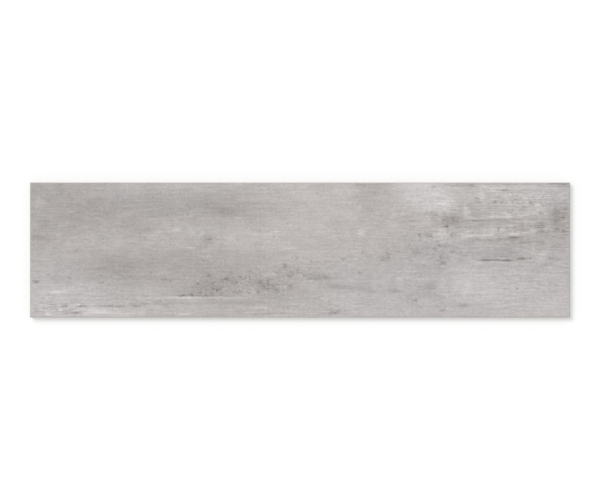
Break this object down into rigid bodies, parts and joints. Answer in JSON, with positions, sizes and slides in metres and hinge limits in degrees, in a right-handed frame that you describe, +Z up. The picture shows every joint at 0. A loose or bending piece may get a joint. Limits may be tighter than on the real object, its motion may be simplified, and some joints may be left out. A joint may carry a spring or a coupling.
{
  "type": "wood look porcelain plank tile",
  "caption": "Long flat porcelain plank with a matte weathered wood look face, ground straight edges and a keyed back, laid on floors or walls.",
  "frame": {"origin": "middle of the tile's back, on the plane that it rests on", "axes": "+X along the plank, +Y across it, +Z up out of the printed face"},
  "size_m": [0.6, 0.15, 0.009],
  "materials": {
    "porcelain": "matte"
  },
  "bodies": {
    "root": {"plank_tile": "porcelain"}
  },
  "joints": []
}
